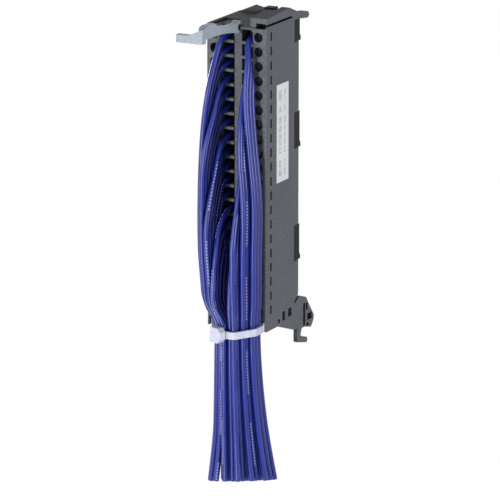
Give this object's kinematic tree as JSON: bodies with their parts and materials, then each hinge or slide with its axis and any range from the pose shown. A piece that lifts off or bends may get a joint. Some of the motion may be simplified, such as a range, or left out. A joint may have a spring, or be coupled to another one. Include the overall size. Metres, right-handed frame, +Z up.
{
  "type": "plc front connector",
  "caption": "Tall front connector with two columns of screw terminals, blue single cores gathered by a cable tie, a release lever on top and hooks at the foot.",
  "frame": {"origin": "middle of the rear face of the contact carrier, the face that seats against the module", "axes": "+X to the right seen from the wired front, +Y back into the module, +Z up along the terminal columns"},
  "size_m": [0.0254, 0.062, 0.1648],
  "materials": {
    "housing": "fine grained dark grey moulding",
    "carrier": "plain black moulding",
    "lever": "smooth pale blue-grey moulding",
    "pin": "drawn steel pin",
    "label": "white printed film",
    "tie": "natural white polyamide",
    "cage": "zinc plated sheet",
    "jaw": "plated clamp jaw",
    "screw": "plated slotted screw",
    "contact": "tinned contact strip",
    "wire": "dark blue extruded insulation"
  },
  "bodies": {
    "connector": {"terminal_housing": "housing", "contact_carrier": "carrier", "lever_pivot": "pin", "side_label": "label", "cable_tie": "tie", "clamp_cages_left": "cage", "clamp_cages_right": "cage", "clamp_jaws_left": "jaw", "clamp_jaws_right": "jaw", "clamp_screws_left": "screw", "clamp_screws_right": "screw", "fork_contacts_left": "contact", "fork_contacts_right": "contact", "wire_left_01": "wire", "wire_left_02": "wire", "wire_left_03": "wire", "wire_left_04": "wire", "wire_left_05": "wire", "wire_left_06": "wire", "wire_left_07": "wire", "wire_left_08": "wire", "wire_left_09": "wire", "wire_left_10": "wire", "wire_left_11": "wire", "wire_left_12": "wire", "wire_left_13": "wire", "wire_left_14": "wire", "wire_left_15": "wire", "wire_left_16": "wire", "wire_left_17": "wire", "wire_left_18": "wire", "wire_left_19": "wire", "wire_left_20": "wire", "wire_right_01": "wire", "wire_right_02": "wire", "wire_right_03": "wire", "wire_right_04": "wire", "wire_right_05": "wire", "wire_right_06": "wire", "wire_right_07": "wire", "wire_right_08": "wire", "wire_right_09": "wire", "wire_right_10": "wire", "wire_right_11": "wire", "wire_right_12": "wire", "wire_right_13": "wire", "wire_right_14": "wire", "wire_right_15": "wire", "wire_right_16": "wire", "wire_right_17": "wire", "wire_right_18": "wire", "wire_right_19": "wire", "wire_right_20": "wire"},
    "lever": {"release_lever": "lever"}
  },
  "joints": [
    {"name": "release_lever_hinge", "type": "hinge", "parent": "connector", "child": "lever", "pos_m": [0, -0.0262, 0.0504], "axis": [-1, 0, 0], "range_deg": [0, 60]}
  ]
}
